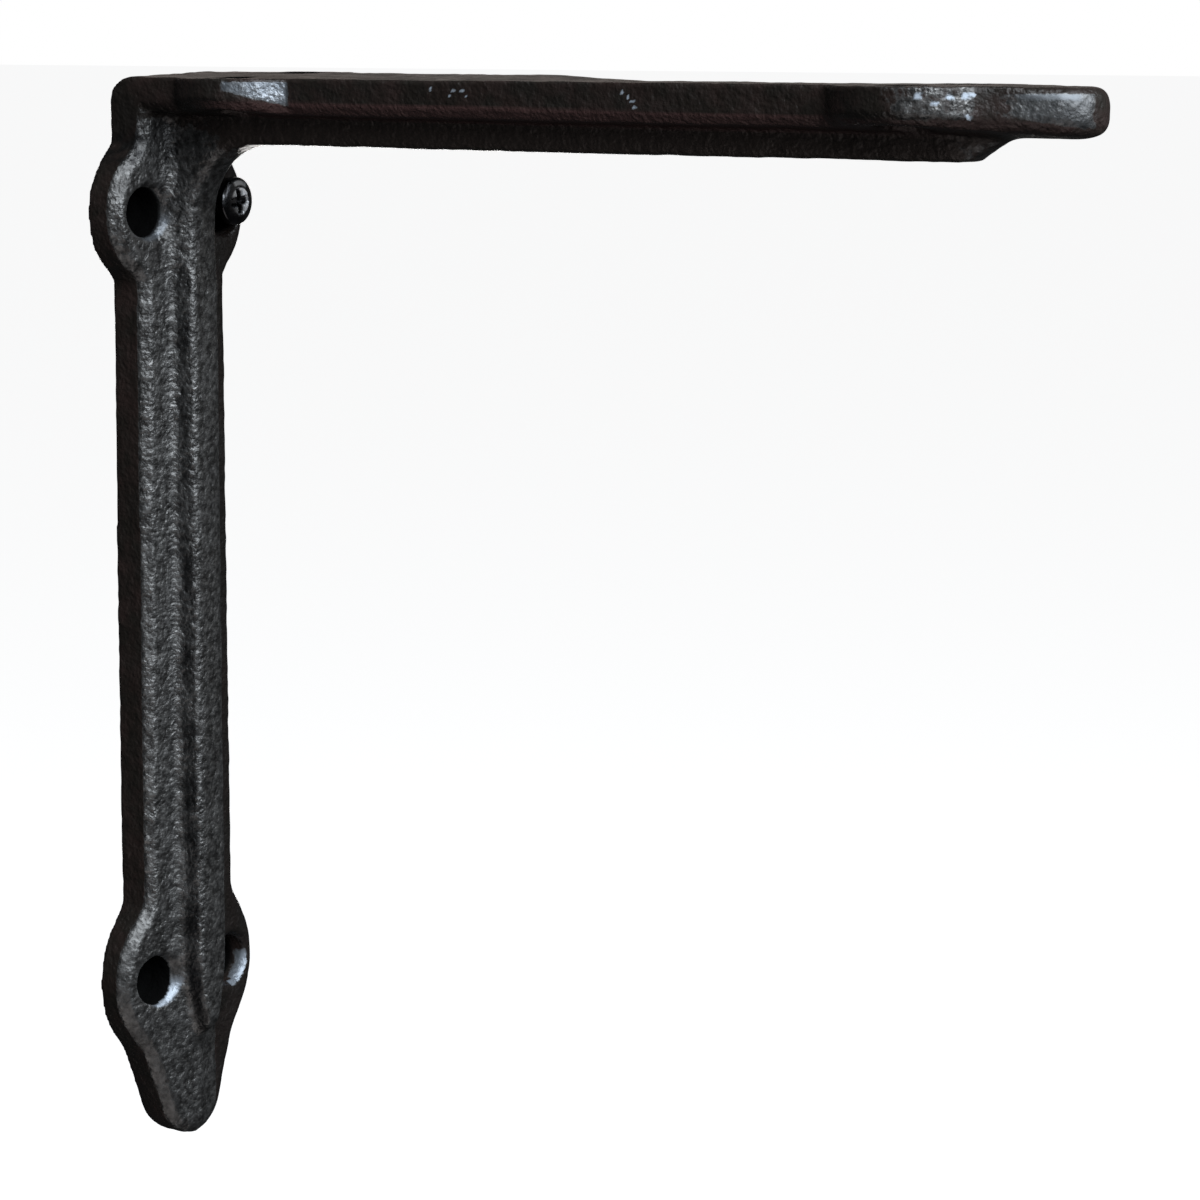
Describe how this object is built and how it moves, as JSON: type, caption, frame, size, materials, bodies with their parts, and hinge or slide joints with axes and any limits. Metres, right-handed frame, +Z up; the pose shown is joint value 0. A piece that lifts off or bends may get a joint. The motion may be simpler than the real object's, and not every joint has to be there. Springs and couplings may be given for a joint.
{
  "type": "cast iron shelf bracket",
  "caption": "Plain L-shaped cast iron shelf bracket with a centre rib, round ears with countersunk screw holes, tapering tips on both limbs, and a cross-recess screw left in the wall leg.",
  "frame": {"origin": "on the wall face of the leg, on the centre line, half way down the leg", "axes": "+X out from the wall along the shelf arm, +Y across the bracket, +Z up towards the shelf"},
  "size_m": [0.1448, 0.0276, 0.1506],
  "materials": {
    "cast_iron": "dark sand-cast iron, fine grain, faint brown tint, worn bright on edges",
    "black_screw": "glossy black"
  },
  "bodies": {
    "root": {"bracket_casting": "cast_iron", "screw": "black_screw"}
  },
  "joints": []
}
